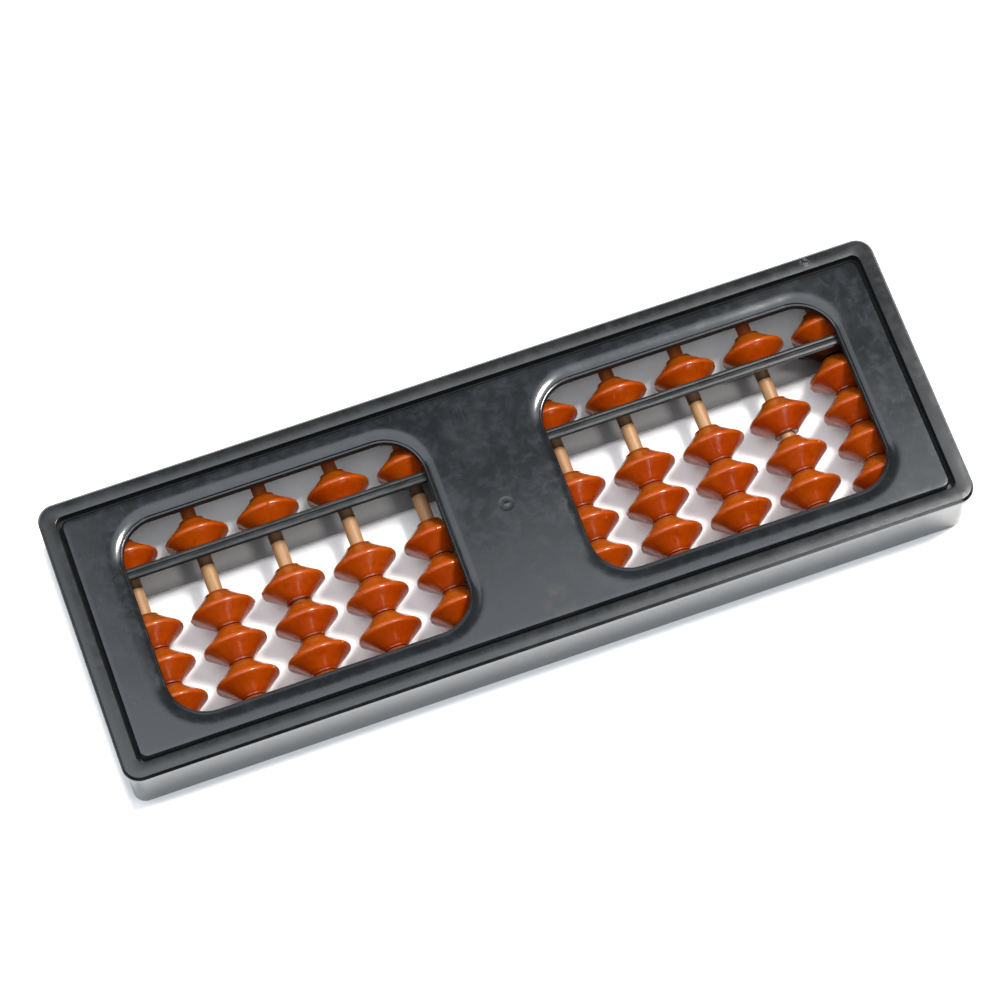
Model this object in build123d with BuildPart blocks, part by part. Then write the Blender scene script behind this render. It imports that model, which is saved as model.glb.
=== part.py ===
from build123d import *
import os

# Ten-rod desk abacus with one heaven bead and four earth beads on each rod.
# Frame: X runs along the case, Y runs along the rods towards the heaven deck, Z is up.
# The origin is the centre of the case's footprint, on the surface it rests on. Units are mm.

# ---------------------------------------------------------------- driving dimensions
PITCH = 14.0                  # rod to rod, inside one window
COLUMNS = 10                  # five rods each side of the bridge
EARTH_BEADS = 4               # per rod

CASE_LENGTH = 167.0           # over the rim lip
CASE_DEPTH = 57.1
CASE_HEIGHT = 15.8
RIM_CORNER = 3.4              # plan radius of the rim's corners
RIM_WIDTH = 3.15              # flat ring round the panel
RIM_ROUND = 0.35
LIP_HEIGHT = 1.5              # the rim stands out over the side walls
LIP_OVERHANG = 0.45
WALL_DRAFT = 2.2              # degrees, the walls lean in towards the floor
WALL_CORNER = 3.0
CAVITY_LENGTH = 160.0         # between the end walls' inner faces
CAVITY_DEPTH = 50.0           # between the long walls' inner faces
CAVITY_CORNER = 2.0
LEDGE_WIDTH = 1.5             # carries the panel's border
LEDGE_THICKNESS = 1.0
SEAT_DEPTH = 1.5              # blind seats for the rod ends
BEAM_SEAT_DEPTH = 0.8         # pockets for the beam's ends
SEAT_CLEARANCE = 0.02

PANEL_GAP = 0.7               # groove between the rim and the panel
PANEL_DROP = 0.4              # panel's face below the rim's
PANEL_THICKNESS = 1.5
PANEL_CORNER = 1.5
PANEL_ROUND = 0.3
WINDOW_LENGTH = 58.7
WINDOW_DEPTH = 39.7
WINDOW_CENTRE = 41.45         # from the middle of the bridge
WINDOW_CORNER = 7.6
ROLL_WIDTH = 2.3              # the panel slopes down round each window
ROLL_DROP = 0.62
FLANGE_THICKNESS = 1.2        # skirt under the window's edge
FLANGE_DROP = 0.45            # skirt's reach below the panel
EDGE_ROUND = 0.25
GATE_RING_RADIUS = 1.5        # moulding gate in the middle of the bridge
GATE_RING_DEPTH = 0.15
GATE_PIP_RADIUS = 0.55
GATE_PIP_HEIGHT = 0.3

ROD_RADIUS = 1.4
ROD_HEIGHT = 6.9              # rod axis above the floor
ROD_END_GAP = 0.1             # rod end to the bottom of its seat

BEAM_CENTRE = 11.25           # along Y
BEAM_WIDTH = 2.4
BEAM_BOTTOM = 1.7
BEAM_TOP = 13.2
BEAM_NEAR_CHAMFER = 0.3
BEAM_GROOVE_OFFSET = 0.27     # groove's middle, from the beam's middle towards the heaven deck
BEAM_GROOVE_WIDTH = 0.22
BEAM_GROOVE_DEPTH = 0.34
BEAM_SHOULDER = 0.2           # step along the heaven side, as deep as the groove

BEAD_RADIUS = 6.23
BEAD_HALF = 3.6               # half the bead's thickness along the rod
BEAD_HUB_RADIUS = 2.5
BEAD_HUB_LENGTH = 0.4         # short neck before the cone starts
BEAD_RIM_HALF = 0.40          # half the width of the flat rim
BEAD_RIM_ROUND = 0.7
BEAD_NECK_ROUND = 0.45
BEAD_HUB_ROUND = 0.12
BORE_CLEARANCE = 0.1
BEAD_GAP = 0.12               # between neighbours pushed together

HEAVEN_REST = 16.2            # bead centre, resting on the beam
EARTH_LOW = -21.25            # lowest bead's centre, resting on the near wall
EARTH_HIGH = 6.25             # topmost bead's centre, raised to the beam
BEAD_STEP = 2 * BEAD_HALF + BEAD_GAP
RAISED_COLUMN = 10            # this rod's earth beads stand at the beam
LIFTS = {3: 0.35, 9: 1.1}     # first earth beads that stand a little off their stack

TINY = 0.01                   # tolerance for picking edges by height

PANEL_TOP = CASE_HEIGHT - PANEL_DROP
PANEL_BOTTOM = PANEL_TOP - PANEL_THICKNESS
PANEL_LENGTH = CASE_LENGTH - 2 * (RIM_WIDTH + PANEL_GAP)
PANEL_DEPTH = CASE_DEPTH - 2 * (RIM_WIDTH + PANEL_GAP)
LEDGE_BOTTOM = PANEL_BOTTOM - LEDGE_THICKNESS
WALL_TOP = CASE_HEIGHT - LIP_HEIGHT
WINDOW_CENTRES = [(-WINDOW_CENTRE, 0), (WINDOW_CENTRE, 0)]

os.makedirs("parts", exist_ok=True)


def column_x(column):
    """Rod axis along X. The bridge takes the place of one rod between the fifth and the sixth."""
    half = COLUMNS // 2
    step = column - half - 1 if column <= half else column - half
    return step * PITCH


def earth_y(column, bead):
    """Centre of an earth bead along its rod; bead 1 is the one nearest the beam."""
    if column == RAISED_COLUMN:
        return EARTH_HIGH - (bead - 1) * BEAD_STEP
    lift = LIFTS.get(column, 0.0) if bead == 1 else 0.0
    return EARTH_LOW + (EARTH_BEADS - bead) * BEAD_STEP + lift


def rod_points():
    """Every rod axis as a point (x, z) for sketches that face along Y."""
    return [(column_x(column), ROD_HEIGHT) for column in range(1, COLUMNS + 1)]


# ---------------------------------------------------------------- case
# Open-bottomed case: drafted walls under an overhanging rim, a ledge for the panel and rod seats.
with BuildPart() as outer_frame:
    with BuildSketch(Plane.XY.offset(WALL_TOP)):
        RectangleRounded(CASE_LENGTH - 2 * LIP_OVERHANG, CASE_DEPTH - 2 * LIP_OVERHANG, WALL_CORNER)
    extrude(amount=-WALL_TOP, taper=WALL_DRAFT)
    with BuildSketch(Plane.XY.offset(WALL_TOP)):
        RectangleRounded(CASE_LENGTH, CASE_DEPTH, RIM_CORNER)
    extrude(amount=LIP_HEIGHT)
    fillet(outer_frame.faces().sort_by(Axis.Z)[-1].edges(), RIM_ROUND)
    # room for the beads, open at the floor
    with BuildSketch(Plane.XY):
        RectangleRounded(CAVITY_LENGTH, CAVITY_DEPTH, CAVITY_CORNER)
    extrude(amount=LEDGE_BOTTOM, mode=Mode.SUBTRACT)
    # mouth of the ledge
    with BuildSketch(Plane.XY.offset(LEDGE_BOTTOM)):
        RectangleRounded(CAVITY_LENGTH - 2 * LEDGE_WIDTH, CAVITY_DEPTH - 2 * LEDGE_WIDTH, CAVITY_CORNER)
    extrude(amount=LEDGE_THICKNESS, mode=Mode.SUBTRACT)
    # recess that takes the panel
    with BuildSketch(Plane.XY.offset(PANEL_BOTTOM)):
        RectangleRounded(CASE_LENGTH - 2 * RIM_WIDTH, CASE_DEPTH - 2 * RIM_WIDTH, PANEL_CORNER)
    extrude(amount=CASE_HEIGHT - PANEL_BOTTOM, mode=Mode.SUBTRACT)
    # blind rod seats in both long walls
    with BuildSketch(Plane.XZ.offset(-CAVITY_DEPTH / 2 - SEAT_DEPTH)):
        with Locations(*rod_points()):
            Circle(ROD_RADIUS + SEAT_CLEARANCE)
    extrude(amount=CAVITY_DEPTH + 2 * SEAT_DEPTH, mode=Mode.SUBTRACT)
    # pockets for the beam's ends
    with BuildSketch(Plane.YZ.offset(-CAVITY_LENGTH / 2 - BEAM_SEAT_DEPTH)):
        with Locations((BEAM_CENTRE, (BEAM_BOTTOM + BEAM_TOP) / 2)):
            Rectangle(BEAM_WIDTH + 2 * SEAT_CLEARANCE, BEAM_TOP - BEAM_BOTTOM + 2 * SEAT_CLEARANCE)
    extrude(amount=CAVITY_LENGTH + 2 * BEAM_SEAT_DEPTH, mode=Mode.SUBTRACT)
outer_frame.part.label = "outer_frame"
export_step(outer_frame.part, "parts/outer_frame.step")


# ---------------------------------------------------------------- window panel
# Inset top plate: two windows with sloped edges and skirts, and the gate mark on the bridge.
with BuildPart() as window_panel:
    with BuildSketch(Plane.XY.offset(PANEL_BOTTOM)):
        RectangleRounded(PANEL_LENGTH, PANEL_DEPTH, PANEL_CORNER)
    extrude(amount=PANEL_THICKNESS)
    fillet(window_panel.faces().sort_by(Axis.Z)[-1].edges(), PANEL_ROUND)
    # skirts under the window edges
    with BuildSketch(Plane.XY.offset(PANEL_BOTTOM - FLANGE_DROP)):
        with Locations(*WINDOW_CENTRES):
            RectangleRounded(
                WINDOW_LENGTH + 2 * FLANGE_THICKNESS,
                WINDOW_DEPTH + 2 * FLANGE_THICKNESS,
                WINDOW_CORNER + FLANGE_THICKNESS,
            )
    extrude(amount=FLANGE_DROP)
    # slopes from the panel's face down to the windows' edges
    for centre in WINDOW_CENTRES:
        with BuildSketch(Plane.XY.offset(PANEL_TOP)):
            with Locations(centre):
                RectangleRounded(
                    WINDOW_LENGTH + 2 * ROLL_WIDTH,
                    WINDOW_DEPTH + 2 * ROLL_WIDTH,
                    WINDOW_CORNER + ROLL_WIDTH,
                )
        with BuildSketch(Plane.XY.offset(PANEL_TOP - ROLL_DROP)):
            with Locations(centre):
                RectangleRounded(WINDOW_LENGTH, WINDOW_DEPTH, WINDOW_CORNER)
        loft(mode=Mode.SUBTRACT)
    # the openings themselves
    with BuildSketch(Plane.XY.offset(PANEL_BOTTOM - FLANGE_DROP)):
        with Locations(*WINDOW_CENTRES):
            RectangleRounded(WINDOW_LENGTH, WINDOW_DEPTH, WINDOW_CORNER)
    extrude(amount=PANEL_THICKNESS + FLANGE_DROP, mode=Mode.SUBTRACT)
    lip_height = PANEL_TOP - ROLL_DROP
    window_lips = window_panel.edges().filter_by_position(Axis.Z, lip_height - TINY, lip_height + TINY)
    fillet(window_lips, EDGE_ROUND)
    # moulding gate: a shallow ring with a raised pip
    with BuildSketch(Plane.XY.offset(PANEL_TOP - GATE_RING_DEPTH)):
        Circle(GATE_RING_RADIUS)
    extrude(amount=GATE_RING_DEPTH, mode=Mode.SUBTRACT)
    with BuildSketch(Plane.XY.offset(PANEL_TOP - GATE_RING_DEPTH)):
        Circle(GATE_PIP_RADIUS)
    extrude(amount=GATE_PIP_HEIGHT)
window_panel.part.label = "window_panel"
export_step(window_panel.part, "parts/window_panel.step")


# ---------------------------------------------------------------- reckoning beam
# Tall bar between the decks, drilled for the rods: chamfered on the earth side, with a groove
# along the top and a step along the heaven side.
with BuildPart() as reckoning_beam:
    with BuildSketch(Plane.YZ.offset(-CAVITY_LENGTH / 2 - BEAM_SEAT_DEPTH)) as section:
        with Locations((BEAM_CENTRE, (BEAM_BOTTOM + BEAM_TOP) / 2)):
            Rectangle(BEAM_WIDTH, BEAM_TOP - BEAM_BOTTOM)
        chamfer(section.vertices().group_by(Axis.Y)[-1].sort_by(Axis.X)[0], BEAM_NEAR_CHAMFER)
        with Locations((BEAM_CENTRE + BEAM_GROOVE_OFFSET, BEAM_TOP)):
            Rectangle(BEAM_GROOVE_WIDTH, 2 * BEAM_GROOVE_DEPTH, mode=Mode.SUBTRACT)
        with Locations((BEAM_CENTRE + BEAM_WIDTH / 2, BEAM_TOP)):
            Rectangle(2 * BEAM_SHOULDER, 2 * BEAM_GROOVE_DEPTH, mode=Mode.SUBTRACT)
    extrude(amount=CAVITY_LENGTH + 2 * BEAM_SEAT_DEPTH)
    with BuildSketch(Plane.XZ.offset(-BEAM_CENTRE - BEAM_WIDTH / 2)):
        with Locations(*rod_points()):
            Circle(ROD_RADIUS + SEAT_CLEARANCE)
    extrude(amount=BEAM_WIDTH, mode=Mode.SUBTRACT)
reckoning_beam.part.label = "reckoning_beam"
export_step(reckoning_beam.part, "parts/reckoning_beam.step")


# ---------------------------------------------------------------- rods
# Plain round rods, their ends held in the long walls.
rod_length = CAVITY_DEPTH + 2 * (SEAT_DEPTH - ROD_END_GAP)
with BuildPart() as rods:
    with BuildSketch(Plane.XZ.offset(-rod_length / 2)):
        with Locations(*rod_points()):
            Circle(ROD_RADIUS)
    extrude(amount=rod_length)
rods.part.label = "rods"
export_step(rods.part, "parts/rods.step")


# ---------------------------------------------------------------- beads
def make_bead(label, x, y):
    """Two cones base to base with a rounded rim, short hub necks and a bore along Y."""
    bore = ROD_RADIUS + BORE_CLEARANCE
    neck = BEAD_HALF - BEAD_HUB_LENGTH
    with BuildPart() as bead:
        with BuildSketch(Plane((x, y, ROD_HEIGHT))) as profile:
            with BuildLine():
                Polyline(
                    (bore, -BEAD_HALF),
                    (BEAD_HUB_RADIUS, -BEAD_HALF),
                    (BEAD_HUB_RADIUS, -neck),
                    (BEAD_RADIUS, -BEAD_RIM_HALF),
                    (BEAD_RADIUS, BEAD_RIM_HALF),
                    (BEAD_HUB_RADIUS, neck),
                    (BEAD_HUB_RADIUS, BEAD_HALF),
                    (bore, BEAD_HALF),
                    close=True,
                )
            make_face()
            necks = profile.vertices().group_by(Axis.X)[1].sort_by(Axis.Y)[1:-1]
            fillet(necks, BEAD_NECK_ROUND)
            hub_line = profile.vertices().group_by(Axis.X)[1].sort_by(Axis.Y)
            fillet([hub_line[0], hub_line[-1]], BEAD_HUB_ROUND)
            fillet(profile.vertices().group_by(Axis.X)[-1], BEAD_RIM_ROUND)
        revolve(axis=Axis((x, y, ROD_HEIGHT), (0, 1, 0)))
    bead.part.label = label
    export_step(bead.part, f"parts/{label}.step")


for column in range(1, COLUMNS + 1):
    make_bead(f"heaven_bead_{column:02d}", column_x(column), HEAVEN_REST)
    for bead_number in range(1, EARTH_BEADS + 1):
        make_bead(
            f"earth_bead_{column:02d}_{bead_number}",
            column_x(column),
            earth_y(column, bead_number),
        )
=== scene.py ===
import math
import random

import bmesh
import bpy
from mathutils import Matrix, Vector


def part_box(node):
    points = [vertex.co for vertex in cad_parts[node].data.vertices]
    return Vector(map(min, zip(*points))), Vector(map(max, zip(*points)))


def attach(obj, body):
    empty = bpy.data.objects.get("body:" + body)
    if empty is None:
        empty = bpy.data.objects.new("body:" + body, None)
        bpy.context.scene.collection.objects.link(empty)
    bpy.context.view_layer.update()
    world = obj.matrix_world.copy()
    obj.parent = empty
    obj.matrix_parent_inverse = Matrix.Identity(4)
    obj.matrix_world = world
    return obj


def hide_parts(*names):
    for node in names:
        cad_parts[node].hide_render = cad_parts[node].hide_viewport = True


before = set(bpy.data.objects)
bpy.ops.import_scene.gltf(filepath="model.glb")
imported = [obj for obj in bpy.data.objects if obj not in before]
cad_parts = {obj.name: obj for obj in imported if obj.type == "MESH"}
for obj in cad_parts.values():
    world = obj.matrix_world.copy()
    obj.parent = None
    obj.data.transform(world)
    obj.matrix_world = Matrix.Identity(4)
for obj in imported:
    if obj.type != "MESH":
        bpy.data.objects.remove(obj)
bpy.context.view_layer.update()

# Looks for the ten-rod abacus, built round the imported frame. All lengths are in metres.
MM = 0.001

# ---------------------------------------------------------------- sizes read from the frame
CASE_LOW, CASE_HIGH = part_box("outer_frame")
PANEL_LOW, PANEL_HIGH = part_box("window_panel")
BEAM_LOW, BEAM_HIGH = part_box("reckoning_beam")
RODS_LOW, RODS_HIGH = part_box("rods")
BEAD_LOW, BEAD_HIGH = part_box("heaven_bead_01")

CASE_HALF_X = CASE_HIGH.x
CASE_HALF_Y = CASE_HIGH.y
CASE_TOP = CASE_HIGH.z
PANEL_HALF_X = PANEL_HIGH.x
PANEL_HALF_Y = PANEL_HIGH.y
PANEL_DROP = 0.4 * MM
PANEL_FACE = CASE_TOP - PANEL_DROP
SKIRT_BOTTOM = PANEL_LOW.z
ROD_AXIS_Z = (RODS_LOW.z + RODS_HIGH.z) / 2
ROD_RADIUS = (RODS_HIGH.z - RODS_LOW.z) / 2
BEAD_RADIUS = (BEAD_HIGH.z - BEAD_LOW.z) / 2
BEAD_HALF = (BEAD_HIGH.y - BEAD_LOW.y) / 2

COLUMNS = 10
EARTH_BEADS = 4

# sizes that the boxes don't give, the same as in the part's source
RIM_CORNER = 3.4 * MM
RIM_WIDTH = 3.15 * MM
LIP_HEIGHT = 1.5 * MM
LIP_OVERHANG = 0.45 * MM
WALL_FOOT_INSET = 1.0 * MM
CAVITY_INSET = 3.5 * MM
LEDGE_INSET = 5.0 * MM
LEDGE_THICKNESS = 1.0 * MM
PANEL_GAP = 0.7 * MM
PANEL_THICKNESS = 1.5 * MM
PANEL_CORNER = 1.5 * MM
WINDOW_HALF_X = 29.35 * MM
WINDOW_HALF_Y = 19.85 * MM
WINDOW_CENTRE = 41.45 * MM
WINDOW_CORNER = 7.6 * MM
SKIRT_WIDTH = 1.2 * MM
GATE_RADIUS = 1.5 * MM
BEAD_HUB_RADIUS = 2.5 * MM
BORE_CLEARANCE = 0.1 * MM
BEAM_GROOVE_DEPTH = 0.34 * MM
BEAM_SHOULDER = 0.2 * MM

# finer edges that only the visual model has
RIM_CROWN = 0.01 * MM
RIM_CHAMFER = 0.5 * MM
GROOVE_CORNER = 1.6 * MM
PANEL_CHAMFER = 0.35 * MM

random.seed(11)


# ---------------------------------------------------------------- mesh helpers
def make_object(name, mesh):
    piece = bpy.data.objects.new(name, mesh)
    bpy.context.scene.collection.objects.link(piece)
    return piece


def finish_mesh(bm, name, smooth_angle=35.0):
    """Turns a bmesh into a smooth-shaded mesh whose edges over smooth_angle stay crisp."""
    bmesh.ops.recalc_face_normals(bm, faces=bm.faces)
    mesh = bpy.data.meshes.new(name)
    bm.to_mesh(mesh)
    bm.free()
    for polygon in mesh.polygons:
        polygon.use_smooth = True
    mesh.set_sharp_from_angle(angle=math.radians(smooth_angle))
    return mesh


def rounded_rectangle(half_x, half_y, radius, arc=14, side=1):
    """Points of a rounded rectangle, anticlockwise, with `arc` steps a corner and `side` a straight."""
    corners = ((1, 1, 0), (-1, 1, 90), (-1, -1, 180), (1, -1, 270))
    points = []
    for sign_x, sign_y, start in corners:
        centre_x = sign_x * (half_x - radius)
        centre_y = sign_y * (half_y - radius)
        for step in range(arc + 1):
            angle = math.radians(start + 90 * step / arc)
            points.append((centre_x + radius * math.cos(angle), centre_y + radius * math.sin(angle)))
    longest_arc_step = 4 * radius / arc
    filled = []
    for here, there in zip(points, points[1:] + points[:1]):
        filled.append(here)
        if math.dist(here, there) > longest_arc_step:
            for step in range(1, side):
                share = step / side
                x = here[0] + (there[0] - here[0]) * share
                y = here[1] + (there[1] - here[1]) * share
                filled.append((x, y))
    return filled


def round_profile(points, steps=6):
    """Rounds a polyline of (u, v, radius) corners. Corners with radius 0 stay as they are."""
    result = []
    count = len(points)
    for index, (u, v, radius) in enumerate(points):
        if radius == 0 or index in (0, count - 1):
            result.append((u, v))
            continue
        here = Vector((u, v))
        back = Vector(points[index - 1][:2]) - here
        ahead = Vector(points[index + 1][:2]) - here
        back.normalize()
        ahead.normalize()
        half_angle = back.angle(ahead) / 2
        reach = radius / math.tan(half_angle)
        centre = here + (back + ahead).normalized() * (radius / math.sin(half_angle))
        start = here + back * reach - centre
        end = here + ahead * reach - centre
        turn = start.angle_signed(end)
        for step in range(steps + 1):
            angle = -turn * step / steps
            cos, sin = math.cos(angle), math.sin(angle)
            arm = Vector((start.x * cos - start.y * sin, start.x * sin + start.y * cos))
            result.append(tuple(centre + arm))
    return result


def ring_loops(bm, loops, closed_profile=False):
    """Joins vertex loops of equal length, one after another, with quads."""
    rows = [[bm.verts.new(co) for co in loop] for loop in loops]
    pairs = list(zip(rows, rows[1:]))
    if closed_profile:
        pairs.append((rows[-1], rows[0]))
    for low, high in pairs:
        count = len(low)
        for k in range(count):
            bm.faces.new((low[k], low[(k + 1) % count], high[(k + 1) % count], high[k]))
    return rows


def fill_between(bm, outer, holes):
    """Flat face between an outer loop of vertices and hole loops."""
    edges = []
    for loop in [outer] + holes:
        for here, there in zip(loop, loop[1:] + loop[:1]):
            edge = bm.edges.get((here, there)) or bm.edges.new((here, there))
            edges.append(edge)
    bmesh.ops.triangle_fill(bm, use_beauty=True, use_dissolve=False, edges=edges)


# ---------------------------------------------------------------- case
def case_mesh():
    """The open-bottomed case as one profile carried round the plan's rounded rectangle."""
    panel_seat = PANEL_FACE - PANEL_THICKNESS
    lip_bottom = CASE_TOP - LIP_HEIGHT
    foot_middle = CAVITY_INSET - 0.6 * MM
    profile = round_profile(
        [
            (foot_middle, 0, 0),
            (WALL_FOOT_INSET, 0, 0.25 * MM),
            (LIP_OVERHANG, lip_bottom, 0.08 * MM),
            (0, lip_bottom + 0.06 * MM, 0.2 * MM),
            (0, CASE_TOP - RIM_CROWN - RIM_CHAMFER, 0.1 * MM),
            (RIM_CHAMFER, CASE_TOP - RIM_CROWN, 0.08 * MM),
            (RIM_WIDTH / 2, CASE_TOP, 3.0 * MM),
            (RIM_WIDTH - 0.02 * MM, CASE_TOP - RIM_CROWN, 0.12 * MM),
            (RIM_WIDTH, panel_seat, 0),
            (LEDGE_INSET, panel_seat, 0.1 * MM),
            (LEDGE_INSET, panel_seat - LEDGE_THICKNESS, 0.2 * MM),
            (CAVITY_INSET, panel_seat - LEDGE_THICKNESS, 0.2 * MM),
            (CAVITY_INSET, 0, 0.2 * MM),
            (foot_middle, 0, 0),
        ]
    )[:-1]
    loops = []
    for inset, height in profile:
        corner = max(RIM_CORNER - inset, GROOVE_CORNER)
        plan = rounded_rectangle(CASE_HALF_X - inset, CASE_HALF_Y - inset, corner, side=6)
        loops.append([(x, y, height) for x, y in plan])
    bm = bmesh.new()
    ring_loops(bm, loops, closed_profile=True)
    return finish_mesh(bm, "case_shell")


# ---------------------------------------------------------------- panel
def window_profile():
    """Section of a window's edge: (distance out from the opening, height below the panel's face)."""
    slope_start = 3.6 * MM
    slope_end = 0.5 * MM
    slope_drop = 0.42 * MM
    slope_curve = 3.4
    steps = 16
    section = []
    for step in range(steps + 1):
        share = step / steps
        out = slope_start + (slope_end - slope_start) * share
        section.append((out, slope_drop * share ** slope_curve))
    lip = round_profile(
        [
            (slope_end - 0.02 * MM, slope_drop + 0.02 * MM, 0),
            (0.42 * MM, slope_drop + 0.13 * MM, 0.05 * MM),
            (0.3 * MM, slope_drop + 0.15 * MM, 0.04 * MM),
            (0.1 * MM, slope_drop + 0.24 * MM, 0.12 * MM),
            (0.0, slope_drop + 0.40 * MM, 0.1 * MM),
            (0.0, PANEL_FACE - SKIRT_BOTTOM, 0.15 * MM),
            (SKIRT_WIDTH, PANEL_FACE - SKIRT_BOTTOM, 0.15 * MM),
            (SKIRT_WIDTH, PANEL_THICKNESS, 0),
        ]
    )
    return section + lip


def gate_profile():
    """Moulding gate, a pip in a shallow dish: radius and height above the panel, inwards."""
    ring_depth = 0.015 * MM
    pip_height = 0.03 * MM
    return round_profile(
        [
            (GATE_RADIUS + 0.25 * MM, 0, 0),
            (GATE_RADIUS, 0, 0.8 * MM),
            (GATE_RADIUS - 0.4 * MM, -ring_depth, 0.8 * MM),
            (0.6 * MM, -ring_depth, 0.3 * MM),
            (0.15 * MM, pip_height, 0.3 * MM),
            (0.03 * MM, pip_height + 0.001 * MM, 0),
        ],
        steps=4,
    )


def panel_mesh():
    """Inset plate with two windows, their sloped edges and skirts, and the gate mark."""
    bm = bmesh.new()
    underside = PANEL_FACE - PANEL_THICKNESS
    border = round_profile(
        [
            (1.2 * MM, PANEL_FACE, 0),
            (PANEL_CHAMFER, PANEL_FACE, 0.1 * MM),
            (0, PANEL_FACE - PANEL_CHAMFER, 0.06 * MM),
            (0, underside, 0.12 * MM),
            (0.3 * MM, underside, 0),
        ]
    )
    border_loops = []
    for inset, height in border:
        plan = rounded_rectangle(PANEL_HALF_X - inset, PANEL_HALF_Y - inset, PANEL_CORNER, side=6)
        border_loops.append([(x, y, height) for x, y in plan])
    border_rows = ring_loops(bm, border_loops)
    top_holes, bottom_holes = [], []
    for centre in (-WINDOW_CENTRE, WINDOW_CENTRE):
        loops = []
        for out, drop in window_profile():
            half_x = WINDOW_HALF_X + out
            half_y = WINDOW_HALF_Y + out
            plan = rounded_rectangle(half_x, half_y, WINDOW_CORNER + out, arc=24, side=4)
            loops.append([(centre + x, y, PANEL_FACE - drop) for x, y in plan])
        rows = ring_loops(bm, loops)
        top_holes.append(rows[0])
        bottom_holes.append(rows[-1])
    turns = 40
    circle = [2 * math.pi * k / turns for k in range(turns)]
    gate_loops = []
    for radius, height in gate_profile():
        level = PANEL_FACE + height
        gate_loops.append([(radius * math.cos(a), radius * math.sin(a), level) for a in circle])
    gate_rows = ring_loops(bm, gate_loops)
    bm.faces.new(gate_rows[-1])
    fill_between(bm, border_rows[0], top_holes + [gate_rows[0]])
    fill_between(bm, border_rows[-1], bottom_holes)
    return finish_mesh(bm, "panel_plate")


# ---------------------------------------------------------------- beam
def beam_mesh():
    """Tall bar with two slightly crowned strips along its top, a groove between them and a step."""
    half = (BEAM_HIGH.y - BEAM_LOW.y) / 2
    middle = (BEAM_HIGH.y + BEAM_LOW.y) / 2
    top = BEAM_HIGH.z
    foot = BEAM_LOW.z
    chamfer = 0.32 * MM
    crown = 0.05 * MM
    depth = BEAM_GROOVE_DEPTH
    foot_chamfer = 0.3 * MM
    groove_near = 0.16 * MM
    groove_far = 0.38 * MM
    shoulder = BEAM_SHOULDER
    outline = round_profile(
        [
            (0, foot, 0),
            (foot_chamfer - half, foot, 0.05 * MM),
            (-half, foot + foot_chamfer, 0.05 * MM),
            (-half, top - chamfer - crown, 0.05 * MM),
            (chamfer - half, top - crown, 0.08 * MM),
            ((chamfer - half + groove_near) / 2, top, 1.5 * MM),
            (groove_near, top - crown, 0.08 * MM),
            (groove_near + 0.04 * MM, top - depth, 0.04 * MM),
            (groove_far - 0.04 * MM, top - depth, 0.04 * MM),
            (groove_far, top - crown, 0.08 * MM),
            ((groove_far + half - shoulder) / 2, top, 0.8 * MM),
            (half - shoulder, top - crown, 0.06 * MM),
            (half - shoulder + 0.03 * MM, top - depth, 0.03 * MM),
            (half, top - depth, 0.05 * MM),
            (half, foot, 0.2 * MM),
            (0, foot, 0),
        ],
        steps=5,
    )[:-1]
    stations = 48
    loops = []
    for step in range(stations + 1):
        x = BEAM_LOW.x + (BEAM_HIGH.x - BEAM_LOW.x) * step / stations
        loops.append([(x, middle + y, z) for y, z in outline])
    bm = bmesh.new()
    rows = ring_loops(bm, loops)
    bm.faces.new(rows[0])
    bm.faces.new(list(reversed(rows[-1])))
    return finish_mesh(bm, "beam_bar", smooth_angle=40)


# ---------------------------------------------------------------- rods
def rod_mesh(name):
    """One wooden rod along Y, very slightly out of round, with its ends eased."""
    turns, stations = 40, 60
    length = RODS_HIGH.y - RODS_LOW.y
    ovality = random.uniform(0.004, 0.012)
    turn_start = random.uniform(0, math.pi)
    end_scale = 0.88
    loops = []
    for station in range(stations + 1):
        share = station / stations
        y = -length / 2 + length * share
        end_ease = end_scale if station in (0, stations) else 1.0
        loop = []
        for k in range(turns):
            angle = 2 * math.pi * k / turns
            squeeze = 1 - ovality * (1 + math.cos(2 * (angle - turn_start)))
            radius = ROD_RADIUS * squeeze * end_ease
            loop.append((radius * math.cos(angle), y, radius * math.sin(angle)))
        loops.append(loop)
    bm = bmesh.new()
    rows = ring_loops(bm, loops)
    bm.faces.new(rows[0])
    bm.faces.new(list(reversed(rows[-1])))
    return finish_mesh(bm, name, smooth_angle=50)


# ---------------------------------------------------------------- beads
def bead_profile():
    """Half section of a bead, (radius, place along the rod), from one bore mouth to the other."""
    bore = ROD_RADIUS + BORE_CLEARANCE
    hub = BEAD_HUB_RADIUS
    half = BEAD_HALF
    one_side = round_profile(
        [
            (bore, -half + 0.8 * MM, 0),
            (bore, -half, 0.15 * MM),
            (hub, -half, 0.16 * MM),
            (hub + 0.06 * MM, -half + 0.34 * MM, 0.35 * MM),
            (hub + 1.35 * MM, -half + 1.42 * MM, 4.0 * MM),
            (BEAD_RADIUS, -0.32 * MM, 0.62 * MM),
            (BEAD_RADIUS, 0, 0),
        ],
        steps=7,
    )
    return one_side + [(radius, -place) for radius, place in reversed(one_side[:-1])]


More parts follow.
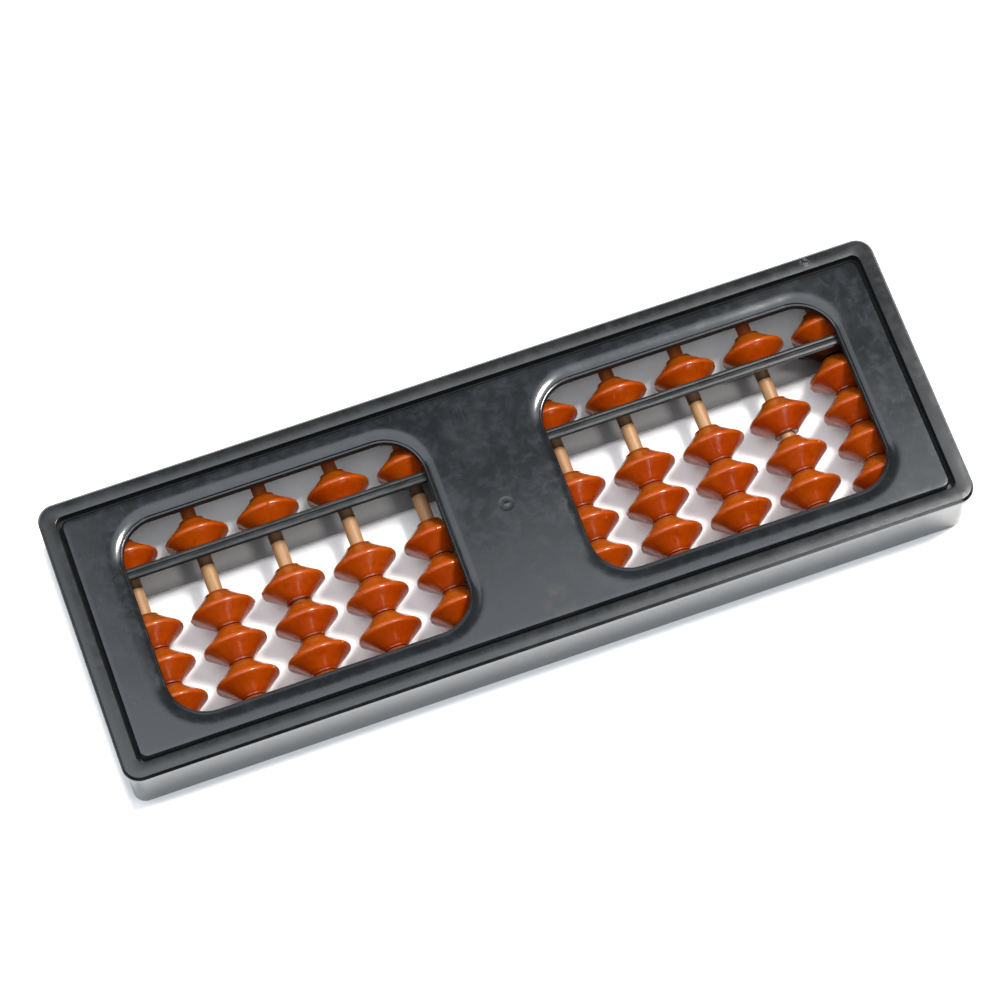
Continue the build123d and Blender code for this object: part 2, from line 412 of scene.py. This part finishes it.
def bead_mesh(name, flash):
    """A bead with a faint parting line down two opposite sides, and a nib of flash at the rim."""
    seam_height = 0.035 * MM
    seam_reach = 0.8  # degrees either side of the parting line
    nib_reach = 1.6  # degrees
    rim_depth = 0.25 * MM
    bore_guard = ROD_RADIUS + 0.2 * MM
    seam_steps = [0, 0.35, 0.8, 1.6, 3.0]  # degrees, closer together near the line
    coarse = 44
    coarse_span = 180 - 2 * seam_steps[-1]
    angles = []
    for start in (0, 180):
        angles += [start + step for step in seam_steps]
        angles += [start + seam_steps[-1] + coarse_span * k / coarse for k in range(1, coarse)]
        angles += [start + 180 - step for step in reversed(seam_steps[1:])]
    loops = []
    for angle in angles:
        offset = min(abs(angle - centre) for centre in (0, 180, 360))
        ridge = seam_height * max(0.0, 1 - offset / seam_reach)
        nib = flash * max(0.0, 1 - offset / nib_reach)
        turn = math.radians(angle)
        loop = []
        for radius, place in bead_profile():
            if radius > bore_guard:
                rim = max(0.0, (radius - BEAD_RADIUS + rim_depth) / rim_depth)
                radius = min(radius + ridge - seam_height, BEAD_RADIUS) + nib * rim
            loop.append((radius * math.cos(turn), place, radius * math.sin(turn)))
        loops.append(loop)
    bm = bmesh.new()
    rows = [[bm.verts.new(co) for co in loop] for loop in loops]
    for low, high in zip(rows, rows[1:] + rows[:1]):
        for k in range(len(low)):
            follow = (k + 1) % len(low)
            bm.faces.new((low[k], low[follow], high[follow], high[k]))
    return finish_mesh(bm, name, smooth_angle=50)


# ---------------------------------------------------------------- node materials
class Surface:
    """A node material being built: each call adds its nodes and links their inputs."""

    CHANCE_SPREAD = 37.0

    def __init__(self, name):
        self.material = bpy.data.materials.new(name)
        self.material.use_nodes = True
        self.tree = self.material.node_tree
        self.tree.nodes.clear()
        self.shader = self.tree.nodes.new("ShaderNodeBsdfPrincipled")
        output = self.tree.nodes.new("ShaderNodeOutputMaterial")
        self.tree.links.new(self.shader.outputs["BSDF"], output.inputs["Surface"])
        self.place = self.tree.nodes.new("ShaderNodeTexCoord").outputs["Object"]
        self.chance = self.tree.nodes.new("ShaderNodeObjectInfo").outputs["Random"]

    def feed(self, socket, value):
        if isinstance(value, bpy.types.NodeSocket):
            self.tree.links.new(value, socket)
        else:
            socket.default_value = value

    def math(self, operation, first, second=0.0):
        node = self.tree.nodes.new("ShaderNodeMath")
        node.operation = operation
        self.feed(node.inputs[0], first)
        self.feed(node.inputs[1], second)
        return node.outputs[0]

    def stretch(self, scale, turn=(0, 0, 0)):
        """The object's own coordinates, scaled per axis and turned, for grain that runs one way."""
        node = self.tree.nodes.new("ShaderNodeMapping")
        self.feed(node.inputs["Vector"], self.place)
        node.inputs["Scale"].default_value = scale
        node.inputs["Rotation"].default_value = [math.radians(a) for a in turn]
        return node.outputs["Vector"]

    def noise(self, scale, detail=3.0, roughness=0.5, vector=None, distortion=0.0):
        """Noise that differs from piece to piece, because its fourth dimension follows chance."""
        node = self.tree.nodes.new("ShaderNodeTexNoise")
        node.noise_dimensions = "4D"
        self.feed(node.inputs["Vector"], vector or self.place)
        self.feed(node.inputs["W"], self.math("MULTIPLY", self.chance, self.CHANCE_SPREAD))
        node.inputs["Scale"].default_value = scale
        node.inputs["Detail"].default_value = detail
        node.inputs["Roughness"].default_value = roughness
        node.inputs["Distortion"].default_value = distortion
        return node.outputs["Fac"]

    def cells(self, scale):
        """Distance to the nearest of many scattered points."""
        node = self.tree.nodes.new("ShaderNodeTexVoronoi")
        self.feed(node.inputs["Vector"], self.place)
        node.inputs["Scale"].default_value = scale
        return node.outputs["Distance"]

    def band(self, value, low, high, out_low=0.0, out_high=1.0):
        """Maps low..high to out_low..out_high, clamped."""
        node = self.tree.nodes.new("ShaderNodeMapRange")
        node.interpolation_type = "SMOOTHSTEP"
        self.feed(node.inputs["Value"], value)
        node.inputs["From Min"].default_value = low
        node.inputs["From Max"].default_value = high
        node.inputs["To Min"].default_value = out_low
        node.inputs["To Max"].default_value = out_high
        return node.outputs["Result"]

    def mix(self, share, first, second):
        node = self.tree.nodes.new("ShaderNodeMix")
        node.data_type = "RGBA"
        self.feed(node.inputs["Factor"], share)
        self.feed(node.inputs["A"], first)
        self.feed(node.inputs["B"], second)
        return node.outputs["Result"]

    def near(self, centre, reach, soft):
        """1 within reach of a point and 0 beyond reach + soft, for marks at one spot."""
        node = self.tree.nodes.new("ShaderNodeVectorMath")
        node.operation = "DISTANCE"
        self.feed(node.inputs[0], self.place)
        node.inputs[1].default_value = centre
        return self.band(node.outputs["Value"], reach, reach + soft, 1.0, 0.0)

    def axis(self, name):
        node = self.tree.nodes.new("ShaderNodeSeparateXYZ")
        self.feed(node.inputs[0], self.place)
        return node.outputs[name]

    def past(self, name, half):
        """Distance past half along one axis, on either side of the origin: negative inside it."""
        return self.math("SUBTRACT", self.math("ABSOLUTE", self.axis(name)), half)

    def outside(self, half_x, half_y):
        """Distance past a rectangle round the origin, seen from above: negative inside it."""
        return self.math("MAXIMUM", self.past("X", half_x), self.past("Y", half_y))

    def bump(self, height, distance, strength=1.0, below=None):
        node = self.tree.nodes.new("ShaderNodeBump")
        self.feed(node.inputs["Height"], height)
        node.inputs["Distance"].default_value = distance
        node.inputs["Strength"].default_value = strength
        if below is not None:
            self.feed(node.inputs["Normal"], below)
        return node.outputs["Normal"]

    def set(self, **values):
        names = {
            "colour": "Base Color",
            "roughness": "Roughness",
            "normal": "Normal",
            "ior": "IOR",
            "emission": "Emission Color",
            "glow": "Emission Strength",
        }
        for name, value in values.items():
            self.feed(self.shader.inputs[names[name]], value)


def colour(red, green, blue):
    return (red, green, blue, 1.0)


DUST = colour(0.16, 0.16, 0.155)


def scratches(surface, density, turn, threshold):
    """Sparse short hairlines: a noise stretched along one direction, cut to its crests, in patches."""
    lines = surface.noise(density, detail=1.0, vector=surface.stretch((1, 0.07, 1), turn=(0, 0, turn)))
    patches = surface.band(surface.noise(110, detail=1.0), 0.58, 0.70)
    return surface.math("MULTIPLY", surface.band(lines, threshold, threshold + 0.04), patches)


def groove_mask(surface):
    """1 in the groove between the rim and the panel, below the panel's face, and 0 elsewhere: where the
    groove's painted shade and extra roughness go.
    """
    past_panel = surface.outside(PANEL_HALF_X, PANEL_HALF_Y)
    near_side = surface.band(past_panel, -0.06 * MM, -0.02 * MM)
    far_side = surface.band(past_panel, PANEL_GAP + 0.02 * MM, PANEL_GAP + 0.04 * MM, 1.0, 0.0)
    deep = surface.band(surface.axis("Z"), PANEL_FACE - 0.12 * MM, PANEL_FACE - 0.02 * MM, 1.0, 0.0)
    return surface.math("MULTIPLY", surface.math("MULTIPLY", near_side, far_side), deep)


def black_plastic(name, base, gloss, smudge, bloom):
    """Moulded black plastic: slow warp, smudges, a patchy bloom, hairlines, dust, and painted shade in
    the groove.
    """
    surface = Surface(name)
    hairline = colour(0.10, 0.105, 0.11)
    # near black, the painted shade for the groove between rim and panel
    groove_painted_shade = colour(0.0006, 0.0006, 0.0006)
    clouds = surface.noise(55, detail=4.0, roughness=0.62, distortion=0.8)
    fine = surface.noise(1600, detail=2.0)
    lines = surface.math(
        "MAXIMUM",
        scratches(surface, 2100, 24, 0.68),
        scratches(surface, 2500, -47, 0.69),
    )
    blotches = surface.noise(420, detail=5.0, roughness=0.65, distortion=0.5)
    specks = surface.band(surface.cells(900), 0.05, 0.09, 1.0, 0.0)
    speck_patches = surface.band(surface.noise(300, detail=1.0), 0.52, 0.66)
    specks = surface.math("MULTIPLY", specks, speck_patches)
    tone = surface.mix(surface.band(clouds, 0.45, 0.72), base, smudge)
    tone = surface.mix(surface.band(blotches, 0.42, 0.70, 0.0, 0.7), tone, bloom)
    tone = surface.mix(surface.math("MULTIPLY", lines, 0.06), tone, hairline)
    tone = surface.mix(surface.math("MULTIPLY", specks, 0.3), tone, DUST)
    rough = surface.band(clouds, 0.4, 0.75, gloss, gloss + 0.05)
    rough = surface.math("ADD", rough, surface.band(blotches, 0.4, 0.7, 0.0, 0.05))
    rough = surface.math("ADD", rough, surface.math("MULTIPLY", lines, 0.04))
    swell = surface.bump(surface.noise(26, detail=2.0, roughness=0.4), 0.00010, 1.0)
    grain = surface.bump(fine, 0.000004, 0.6, below=swell)
    cut = surface.bump(lines, -0.000002, 0.3, below=grain)
    groove = groove_mask(surface)
    # painted shade: the groove between rim and panel darkened to near black
    tone = surface.mix(groove, tone, groove_painted_shade)
    rough = surface.math("ADD", rough, surface.math("MULTIPLY", groove, 0.6))
    surface.set(colour=tone, roughness=rough, normal=cut, ior=1.5)
    surface.tone, surface.rough = tone, rough
    return surface


def case_material():
    """Case plastic with marks: worn scuffs on the far rim, an end speck, and a lighter, rougher spot at
    the near-right corner.
    """
    smudge = colour(0.008, 0.0090, 0.0100)
    bloom = colour(0.009, 0.0110, 0.0130)
    surface = black_plastic("case_black", colour(0.003, 0.0036, 0.0042), 0.16, smudge, bloom)
    broken = surface.band(surface.noise(2400, detail=2.0), 0.47, 0.58)
    scuffs = surface.near((70.3 * MM, 27.1 * MM, CASE_TOP), 0.5 * MM, 0.9 * MM)
    corner_mark = surface.near((81.0 * MM, -27.5 * MM, CASE_TOP), 0.25 * MM, 0.5 * MM)
    speck = surface.near((83.1 * MM, -14.9 * MM, CASE_TOP), 0.15 * MM, 0.2 * MM)
    marks = surface.math("MULTIPLY", surface.math("MAXIMUM", scuffs, corner_mark), broken)
    marks = surface.math("MAXIMUM", marks, speck)
    tone = surface.mix(surface.math("MULTIPLY", marks, 0.1), surface.tone, DUST)
    rough = surface.math("ADD", surface.rough, surface.math("MULTIPLY", marks, 0.2))
    surface.set(colour=tone, roughness=rough)
    return surface.material


def panel_material():
    """Panel plastic, a little bluer: a brown haze near the bridge's foot, and rougher skirts darkened
    with painted shade.
    """
    brown_haze = colour(0.035, 0.024, 0.016)
    skirt_painted_shade = colour(0.001, 0.001, 0.001)
    smudge = colour(0.007, 0.0085, 0.0100)
    bloom = colour(0.009, 0.0125, 0.0165)
    surface = black_plastic("panel_black", colour(0.003, 0.0040, 0.0052), 0.12, smudge, bloom)
    haze = surface.near((2.8 * MM, -21.4 * MM, PANEL_FACE), 1.0 * MM, 3.5 * MM)
    broken = surface.band(surface.noise(420, detail=3.0), 0.4, 0.65)
    haze = surface.math("MULTIPLY", surface.math("MULTIPLY", haze, broken), 0.5)
    # painted shade: everything more than about 0.65 to 0.85 mm below the face, the skirts under the
    # windows' lips, darkened to near black
    skirt = surface.band(surface.axis("Z"), PANEL_FACE - 0.85 * MM, PANEL_FACE - 0.65 * MM, 1.0, 0.0)
    tone = surface.mix(haze, surface.tone, brown_haze)
    tone = surface.mix(skirt, tone, skirt_painted_shade)
    rough = surface.math("ADD", surface.rough, surface.math("MULTIPLY", skirt, 0.5))
    surface.set(colour=tone, roughness=rough)
    return surface.material


def beam_material():
    """Beam plastic: polished faces, and a satin top worn in lengthwise streaks by fingers, whose
    lighter grey is partly wear and partly a painted sheen.
    """
    worn_sheen_grey = colour(0.05, 0.052, 0.055)
    smudge = colour(0.009, 0.0095, 0.0098)
    bloom = colour(0.010, 0.0105, 0.0110)
    surface = black_plastic("beam_black", colour(0.005, 0.0053, 0.0056), 0.07, smudge, bloom)
    streaks = surface.noise(1500, detail=3.0, vector=surface.stretch((0.12, 1, 1)))
    top = surface.band(surface.axis("Z"), BEAM_HIGH.z - 0.3 * MM, BEAM_HIGH.z - 0.1 * MM)
    satin = surface.math("MULTIPLY", top, surface.band(streaks, 0.3, 0.7, 0.14, 0.26))
    # lighter grey streaks along the top: partly wear, partly a painted sheen standing in for the
    # strips' reflection
    worn_streaks_and_sheen = surface.math("MULTIPLY", top, surface.band(streaks, 0.4, 0.75, 0.15, 0.6))
    tone = surface.mix(worn_streaks_and_sheen, surface.tone, worn_sheen_grey)
    surface.set(colour=tone, roughness=surface.math("ADD", surface.rough, satin), ior=1.33)
    return surface.material


def bead_material():
    """Glossy orange-brown moulded beads, darker towards the hubs, with faint swirls and rubs, and
    painted light making each far side lighter and more orange.
    """
    surface = Surface("bead_amber")
    deep_amber = colour(0.25, 0.024, 0.0002)
    light_amber = colour(0.32, 0.046, 0.0010)
    far_side_lit_amber = colour(0.32, 0.075, 0.004)
    batch_amber = colour(0.29, 0.044, 0.0008)
    mottled_red = colour(0.20, 0.018, 0.0004)
    hub_brown = colour(0.09, 0.009, 0.0006)
    worn_peach = colour(0.50, 0.19, 0.05)
    rubbed_peach = colour(0.75, 0.3, 0.12)
    swirl = surface.noise(160, detail=4.0, roughness=0.55, distortion=0.6)
    mottle = surface.noise(900, detail=4.0, roughness=0.6)
    tone = surface.mix(surface.band(swirl, 0.3, 0.72), deep_amber, light_amber)
    # painted light: each bead's far side (+Y) lighter and more orange, its near side redder
    far_side_light = surface.band(surface.axis("Y"), -1.2 * MM, 1.8 * MM, 0.0, 0.8)
    tone = surface.mix(far_side_light, tone, far_side_lit_amber)
    batch = surface.band(surface.chance, 0.0, 1.0, 0.0, 0.3)
    tone = surface.mix(batch, tone, batch_amber)
    along = surface.math("ABSOLUTE", surface.axis("Y"))
    # darker and browner towards each hub
    hub_darkening = surface.band(along, BEAD_HALF * 0.72, BEAD_HALF, 0.0, 0.7)
    tone = surface.mix(hub_darkening, tone, hub_brown)
    tone = surface.mix(surface.band(mottle, 0.45, 0.7, 0.0, 0.45), tone, mottled_red)
    specks = surface.band(surface.cells(800), 0.06, 0.12, 0.6, 0.0)
    specks = surface.math("MULTIPLY", specks, surface.band(surface.noise(400, detail=1.0), 0.5, 0.62))
    tone = surface.mix(specks, tone, worn_peach)
    lines = scratches(surface, 1500, 65, 0.66)
    tone = surface.mix(surface.math("MULTIPLY", lines, 0.12), tone, rubbed_peach)
    rough = surface.band(swirl, 0.25, 0.8, 0.15, 0.25)
    rough = surface.math("ADD", rough, surface.math("MULTIPLY", lines, 0.08))
    swell = surface.bump(swirl, 0.00005, 0.5)
    grain = surface.bump(mottle, 0.000012, 0.5, below=swell)
    surface.set(colour=tone, roughness=rough, normal=grain, ior=1.42)
    return surface.material


def rod_material():
    """Pale split-wood rod: long fibres, a few dark pores, a polished skin, and painted shade making it
    darker and redder past the beam.
    """
    surface = Surface("rod_wood")
    dark_fibre = colour(0.24, 0.115, 0.045)
    pale_fibre = colour(0.35, 0.200, 0.092)
    broad_band = colour(0.29, 0.145, 0.058)
    pore_brown = colour(0.20, 0.09, 0.035)
    past_beam_painted_shade = colour(0.24, 0.055, 0.009)
    fibre = surface.noise(900, detail=4.0, roughness=0.6, vector=surface.stretch((1, 0.04, 1)))
    broad = surface.noise(240, detail=2.0, vector=surface.stretch((1, 0.12, 1)))
    tone = surface.mix(surface.band(fibre, 0.3, 0.7), dark_fibre, pale_fibre)
    tone = surface.mix(surface.band(broad, 0.35, 0.7, 0.0, 0.5), tone, broad_band)
    pores = surface.noise(2600, detail=1.0, vector=surface.stretch((1, 0.05, 1)))
    pores = surface.band(pores, 0.66, 0.74)
    tone = surface.mix(surface.math("MULTIPLY", pores, 0.6), tone, pore_brown)
    # painted shade: the rod darker and redder past the beam, where it lies under the panel's far border
    past_beam = surface.band(surface.axis("Y"), BEAM_HIGH.y - 1.0 * MM, BEAM_HIGH.y + 2.0 * MM)
    tone = surface.mix(past_beam, tone, past_beam_painted_shade)
    rough = surface.band(fibre, 0.3, 0.7, 0.48, 0.36)
    relief = surface.bump(fibre, 0.00003, 0.7)
    pits = surface.bump(pores, -0.00003, 0.7, below=relief)
    surface.set(colour=tone, roughness=rough, normal=pits, ior=1.5)
    return surface.material


def floor_material():
    """White paper with a painted glow all round the case that lifts the case's cast shadow, fading out
    towards the case's foot.
    """
    surface = Surface("studio_floor")
    cloud = surface.noise(3, detail=2.0)
    tone = surface.mix(cloud, colour(0.90, 0.90, 0.90), colour(0.93, 0.93, 0.93))
    painted_glow_strength = 0.6
    # painted light: the floor glows round the case, fully from about 1.5 mm beyond its foot, to lighten
    # the case's shadow
    beside = surface.band(surface.past("X", CASE_HALF_X), -0.5 * MM, 1.5 * MM)
    before = surface.band(surface.past("Y", CASE_HALF_Y), -0.6 * MM, 1.8 * MM)
    glow = surface.math("MULTIPLY", surface.math("MAXIMUM", beside, before), painted_glow_strength)
    surface.set(colour=tone, roughness=0.75, emission=colour(1, 1, 1), glow=glow)
    return surface.material


# ---------------------------------------------------------------- placing the pieces
def place_frame():
    """Case, panel, beam and rods, which all belong to the fixed body."""
    fixed = (
        ("case_shell", case_mesh(), case_material(), "outer_frame", "case_plastic"),
        ("panel_plate", panel_mesh(), panel_material(), "window_panel", "panel_plastic"),
        ("beam_bar", beam_mesh(), beam_material(), "reckoning_beam", "beam_plastic"),
    )
    for name, mesh, material, node, slot in fixed:
        mesh.materials.append(material)
        piece = make_object(name, mesh)
        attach(piece, "frame")
        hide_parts(node)
    wood = rod_material()
    for column in range(1, COLUMNS + 1):
        low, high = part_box(f"heaven_bead_{column:02d}")
        mesh = rod_mesh(f"rod_{column:02d}")
        mesh.materials.append(wood)
        piece = make_object(f"rod_{column:02d}", mesh)
        piece.location = ((low.x + high.x) / 2, 0, ROD_AXIS_Z)
        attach(piece, "frame")
        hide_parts("rods")


def place_beads():
    """One piece for every bead, turned by chance on its rod."""
    amber = bead_material()
    flashes = (0.0, 0.0, 0.12 * MM, 0.05 * MM)
    shapes = [bead_mesh(f"bead_shape_{k}", flash) for k, flash in enumerate(flashes)]
    for shape in shapes:
        shape.materials.append(amber)
    names = []
    for column in range(1, COLUMNS + 1):
        names.append(f"heaven_bead_{column:02d}")
        names += [f"earth_bead_{column:02d}_{number}" for number in range(1, EARTH_BEADS + 1)]
    for name in names:
        low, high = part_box(name)
        shape = random.choice(shapes).copy()
        shape.transform(Matrix.Rotation(random.uniform(0, 2 * math.pi), 4, "Y"))
        piece = make_object(f"{name}_turned", shape)
        piece.location = (low + high) / 2
        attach(piece, name)
        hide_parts(name)


# ---------------------------------------------------------------- studio
def area_light(name, centre, target, size, radiance, tint):
    """A rectangular light facing the target, as bright as its radiance says."""
    width, height = size
    light = bpy.data.lights.new(name, "AREA")
    light.shape = "RECTANGLE"
    light.size = width
    light.size_y = height
    light.energy = radiance * math.pi * width * height
    light.color = tint
    lamp = make_object(name, light)
    lamp.location = centre
    lamp.rotation_euler = (Vector(target) - Vector(centre)).to_track_quat("-Z", "Y").to_euler()


def studio_floor():
    """A white sheet under the case, wide enough to fill every view."""
    half_side = 3.0
    bm = bmesh.new()
    bmesh.ops.create_grid(bm, x_segments=8, y_segments=8, size=half_side)
    mesh = bpy.data.meshes.new("studio_floor")
    bm.to_mesh(mesh)
    bm.free()
    mesh.materials.append(floor_material())
    floor = make_object("studio_floor", mesh)
    floor.location = (0, 0, CASE_LOW.z)


def studio_lights():
    """Softboxes overhead and to the far left, a warm key, a backdrop and a front strip."""
    plain = (1, 1, 1)
    cool = (0.94, 1.0, 1.06)
    warm = (1.0, 0.96, 0.90)
    lights = (
        ("softbox_overhead", (0.1, -0.11, 1.0), (0.1, -0.11, 0), (2.2, 0.91), 2.9, cool),
        ("softbox_left", (-0.29, 0.39, 1.0), (-0.29, 0.39, 0), (0.49, 0.09), 2.2, cool),
        ("key_right", (0.64, 0.13, 1.45), (0, 0, 0), (0.32, 0.32), 92.0, warm),
        ("backdrop", (0, 1.3, 0.43), (0, 0, 0.1), (2.6, 0.8), 0.9, plain),
        ("front_strip", (0.42, -1.43, 0.3), (0, 0, 0), (0.2, 0.6), 5.0, plain),
    )
    for name, centre, target, size, radiance, tint in lights:
        area_light(name, centre, target, size, radiance, tint)


def studio_world():
    """Dim surroundings, dark in front of the object and lighter behind it."""
    front_grey = 0.05
    back_grey = 0.34
    world = bpy.data.worlds.new("studio_world")
    world.use_nodes = True
    tree = world.node_tree
    background = tree.nodes["Background"]
    background.inputs["Strength"].default_value = 1.0
    direction = tree.nodes.new("ShaderNodeTexCoord").outputs["Generated"]
    split = tree.nodes.new("ShaderNodeSeparateXYZ")
    tree.links.new(direction, split.inputs[0])
    fade = tree.nodes.new("ShaderNodeMapRange")
    tree.links.new(split.outputs["Y"], fade.inputs["Value"])
    fade.inputs["From Min"].default_value = -0.5
    fade.inputs["From Max"].default_value = 0.3
    fade.inputs["To Min"].default_value = front_grey
    fade.inputs["To Max"].default_value = back_grey
    tree.links.new(fade.outputs["Result"], background.inputs["Color"])
    bpy.context.scene.world = world


def studio():
    """Floor, lights and surroundings, shown with plain sRGB tones."""
    studio_floor()
    studio_lights()
    studio_world()
    bpy.context.scene.view_settings.view_transform = "Standard"
    bpy.context.scene.view_settings.look = "None"


def camera():
    """Looks down from the left front. Azimuth 0 looks along +Y, and a positive one turns to -X."""
    azimuth = math.radians(-19.8)
    elevation = math.radians(68.5)
    focal_length = 150.7
    sensor_width = 36.0
    distance = 4.775 * (CASE_HIGH.x - CASE_LOW.x)
    aim = Vector((1.15 * MM, 6.77 * MM, CASE_LOW.z))
    forward = Vector(
        (
            -math.sin(azimuth) * math.cos(elevation),
            math.cos(azimuth) * math.cos(elevation),
            -math.sin(elevation),
        )
    )
    data = bpy.data.cameras.new("photo_view")
    data.sensor_width = sensor_width
    data.lens = focal_length
    data.clip_end = 10.0
    eye = make_object("photo_view", data)
    eye.location = aim - forward * distance
    eye.rotation_euler = forward.to_track_quat("-Z", "Y").to_euler()
    bpy.context.scene.camera = eye


camera()
place_frame()
place_beads()
studio()
